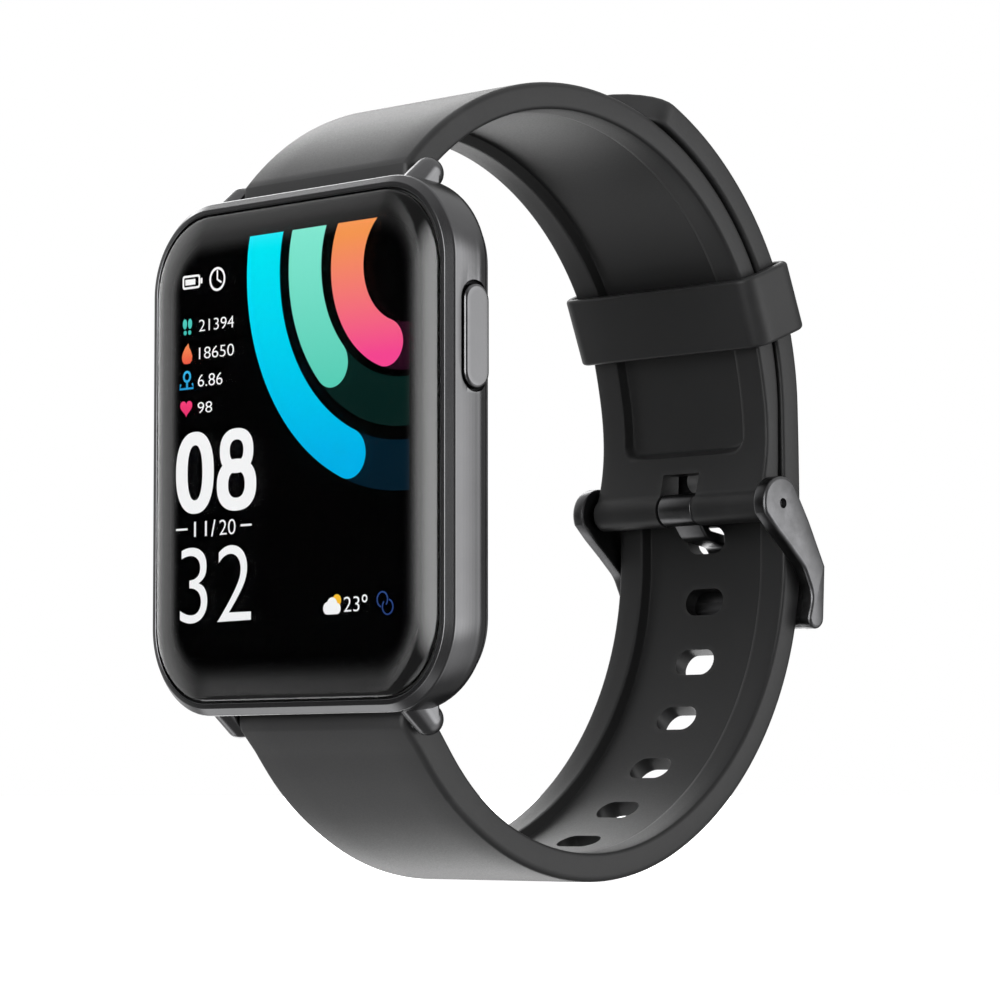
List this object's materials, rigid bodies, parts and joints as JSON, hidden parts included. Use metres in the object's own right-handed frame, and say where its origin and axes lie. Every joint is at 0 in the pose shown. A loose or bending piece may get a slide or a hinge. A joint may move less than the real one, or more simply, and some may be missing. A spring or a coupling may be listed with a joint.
{
  "type": "smartwatch",
  "caption": "Rectangular smartwatch with curved cover glass and side push button, on a buckled silicone strap with keeper loop and adjustment holes.",
  "frame": {"origin": "middle of the space for the wrist inside the buckled strap", "axes": "+X across the strap towards the push button, +Y from the watch face through the wrist towards the buckle, +Z towards twelve o'clock"},
  "size_m": [0.0365, 0.0547, 0.0681],
  "materials": {
    "anodised_metal": "dark anodised, satin",
    "cover_glass": "polished",
    "seal_rubber": "matte",
    "display": "dark display module",
    "flex": "polyimide film",
    "chassis": "moulded",
    "board": "solder mask",
    "chip": "moulded epoxy",
    "shield": "tinned shield",
    "battery": "foil pouch",
    "back_plastic": "fine satin",
    "screw_steel": "blackened",
    "sensor_window": "polished",
    "led": "clear",
    "photodiode": "clear",
    "contact_gold": "gold plated",
    "magnet": "nickel plated",
    "strap_silicone": "matte",
    "buckle_metal": "dark satin",
    "bar_steel": "stainless"
  },
  "bodies": {
    "watch": {"case_frame": "anodised_metal", "cover_glass": "cover_glass", "glass_gasket": "seal_rubber", "display_panel": "display", "display_flex": "flex", "inner_chassis": "chassis", "main_board": "board", "processor_chip": "chip", "memory_chip": "chip", "radio_module": "shield", "battery": "battery", "vibration_motor": "shield", "button_switch": "chip", "back_cover": "back_plastic", "back_gasket": "seal_rubber", "back_screws": "screw_steel", "sensor_window": "sensor_window", "sensor_board": "board", "sensor_leds": "led", "photodiodes": "photodiode", "charging_contacts": "contact_gold", "charging_magnets": "magnet", "button_oring": "seal_rubber", "strap_short": "strap_silicone", "strap_long": "strap_silicone", "bar_tube_top": "bar_steel", "bar_tube_bottom": "bar_steel", "bar_tube_buckle": "bar_steel", "bar_spring_top": "bar_steel", "bar_spring_bottom": "bar_steel", "bar_spring_buckle": "bar_steel"},
    "button": {"side_button": "anodised_metal", "button_clip": "screw_steel"},
    "keeper": {"strap_keeper": "strap_silicone"},
    "buckle": {"buckle_frame": "buckle_metal"},
    "tongue": {"buckle_tongue": "buckle_metal"},
    "tip_top_left": {"bar_tip_top_left": "bar_steel"},
    "tip_top_right": {"bar_tip_top_right": "bar_steel"},
    "tip_bottom_left": {"bar_tip_bottom_left": "bar_steel"},
    "tip_bottom_right": {"bar_tip_bottom_right": "bar_steel"},
    "tip_buckle_left": {"bar_tip_buckle_left": "bar_steel"},
    "tip_buckle_right": {"bar_tip_buckle_right": "bar_steel"}
  },
  "joints": [
    {"name": "button_press", "type": "slide", "parent": "watch", "child": "button", "axis": [-1, 0, 0], "range_m": [0, 0.00035], "stiffness_N_per_m": 2000, "springref_m": -0.0004},
    {"name": "keeper_slide", "type": "hinge", "parent": "watch", "child": "keeper", "pos_m": [0, -0.00125, 0.0057], "axis": [1, 0, 0], "range_deg": [-9, 28]},
    {"name": "buckle_swing", "type": "hinge", "parent": "watch", "child": "buckle", "pos_m": [0, 0.0231, -0.0025], "axis": [1, 0, 0], "range_deg": [0, 6]},
    {"name": "tongue_swing", "type": "hinge", "parent": "watch", "child": "tongue", "pos_m": [0, 0.0231, -0.0025], "axis": [1, 0, 0], "range_deg": [0, 6]},
    {"name": "tip_slide_top_left", "type": "slide", "parent": "watch", "child": "tip_top_left", "axis": [1, 0, 0], "range_m": [0, 0.001], "stiffness_N_per_m": 800, "springref_m": -0.001, "deforming": ["bar_spring_top"]},
    {"name": "tip_slide_top_right", "type": "slide", "parent": "watch", "child": "tip_top_right", "axis": [-1, 0, 0], "range_m": [0, 0.001], "stiffness_N_per_m": 800, "springref_m": -0.001, "deforming": ["bar_spring_top"]},
    {"name": "tip_slide_bottom_left", "type": "slide", "parent": "watch", "child": "tip_bottom_left", "axis": [1, 0, 0], "range_m": [0, 0.001], "stiffness_N_per_m": 800, "springref_m": -0.001, "deforming": ["bar_spring_bottom"]},
    {"name": "tip_slide_bottom_right", "type": "slide", "parent": "watch", "child": "tip_bottom_right", "axis": [-1, 0, 0], "range_m": [0, 0.001], "stiffness_N_per_m": 800, "springref_m": -0.001, "deforming": ["bar_spring_bottom"]},
    {"name": "tip_slide_buckle_left", "type": "slide", "parent": "watch", "child": "tip_buckle_left", "axis": [1, 0, 0], "range_m": [0, 0.001], "stiffness_N_per_m": 800, "springref_m": -0.001, "deforming": ["bar_spring_buckle"]},
    {"name": "tip_slide_buckle_right", "type": "slide", "parent": "watch", "child": "tip_buckle_right", "axis": [-1, 0, 0], "range_m": [0, 0.001], "stiffness_N_per_m": 800, "springref_m": -0.001, "deforming": ["bar_spring_buckle"]}
  ],
  "couplings": [
    {"joint": "tongue_swing", "follows": "buckle_swing", "ratio": 1}
  ]
}
